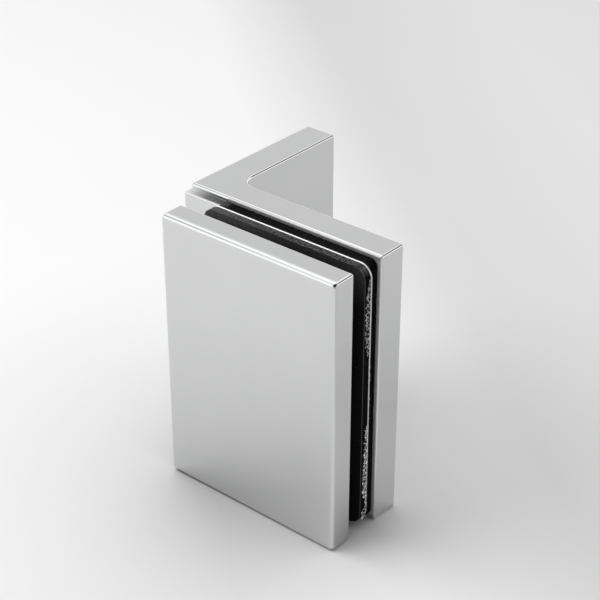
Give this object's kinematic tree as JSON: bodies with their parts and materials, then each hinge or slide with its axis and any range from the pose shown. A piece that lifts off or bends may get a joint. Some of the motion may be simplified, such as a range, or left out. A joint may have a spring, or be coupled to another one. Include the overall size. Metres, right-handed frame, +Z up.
{
  "type": "glass clamp",
  "caption": "L-shaped wall bracket and plain clamp plate that grip a glass pane between rubber gaskets, drawn together by countersunk screws from behind.",
  "frame": {"origin": "middle of the wall leg's flat outer face, where it meets the wall", "axes": "+X out from the wall along the glass, +Y back along the wall leg away from the clamp plate, +Z up along the clamp's height"},
  "size_m": [0.071, 0.074, 0.09],
  "materials": {
    "polished_chrome": "mirror-polished chrome plate",
    "black_rubber": "matt black rubber sheet",
    "clear_film": "thin clear film, glossy and slightly crinkled",
    "screw_steel": "plain stainless steel",
    "white_nylon": "moulded natural nylon"
  },
  "bodies": {
    "bracket": {"wall_bracket": "polished_chrome", "rear_gasket": "black_rubber", "liner_film": "clear_film", "front_gasket": "black_rubber"},
    "plate": {"clamp_plate": "polished_chrome", "plate_gasket": "black_rubber", "boss_sleeve_upper": "white_nylon", "boss_sleeve_lower": "white_nylon"},
    "screw_upper": {"clamp_screw_upper": "screw_steel"},
    "screw_lower": {"clamp_screw_lower": "screw_steel"}
  },
  "joints": [
    {"name": "plate_slide", "type": "slide", "parent": "bracket", "child": "plate", "axis": [0, -1, 0], "range_m": [0, 0.006]},
    {"name": "screw_upper_turn", "type": "hinge", "parent": "bracket", "child": "screw_upper", "pos_m": [0.0388, -0.0173, 0.023], "axis": [0, 1, 0], "range_deg": [0, 2170]},
    {"name": "screw_lower_turn", "type": "hinge", "parent": "bracket", "child": "screw_lower", "pos_m": [0.0388, -0.0173, -0.023], "axis": [0, 1, 0], "range_deg": [0, 2170]}
  ],
  "couplings": [
    {"joint": "screw_upper_turn", "follows": "plate_slide", "rad_per_m": 6283.2},
    {"joint": "screw_lower_turn", "follows": "plate_slide", "rad_per_m": 6283.2}
  ]
}
